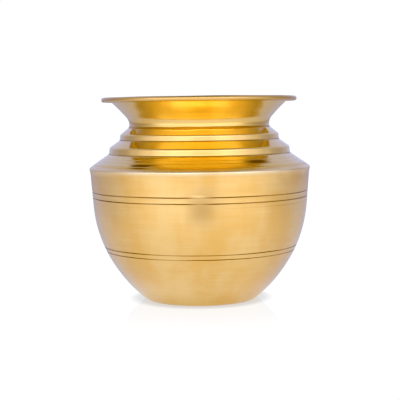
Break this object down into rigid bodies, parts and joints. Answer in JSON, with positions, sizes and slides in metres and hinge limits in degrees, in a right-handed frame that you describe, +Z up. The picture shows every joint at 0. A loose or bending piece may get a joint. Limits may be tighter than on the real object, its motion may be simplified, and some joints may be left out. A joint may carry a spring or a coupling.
{
  "type": "kalash pot",
  "caption": "Spun brass kalash: round belly tapering to a flat base, stepped shoulder, narrow waist and a flared mouth with a flat rolled lip.",
  "frame": {"origin": "centre of the base, in the plane that the pot stands on", "axes": "+Z up along the axis that the pot was spun on; X and Y are free, because the pot is round"},
  "size_m": [0.1198, 0.1198, 0.1098],
  "materials": {
    "bright_brass": "buffed bright on the lathe, with faint lines around the pot",
    "satin_brass": "satin, with fine turned lines around the pot",
    "wire_brass": "drawn",
    "braze_brass": "filed and buffed with the sheet around it"
  },
  "bodies": {
    "root": {"neck_collar": "bright_brass", "rim_wire": "wire_brass", "shoulder_shell": "bright_brass", "bowl": "satin_brass", "waist_braze": "braze_brass", "shoulder_braze": "braze_brass"}
  },
  "joints": []
}
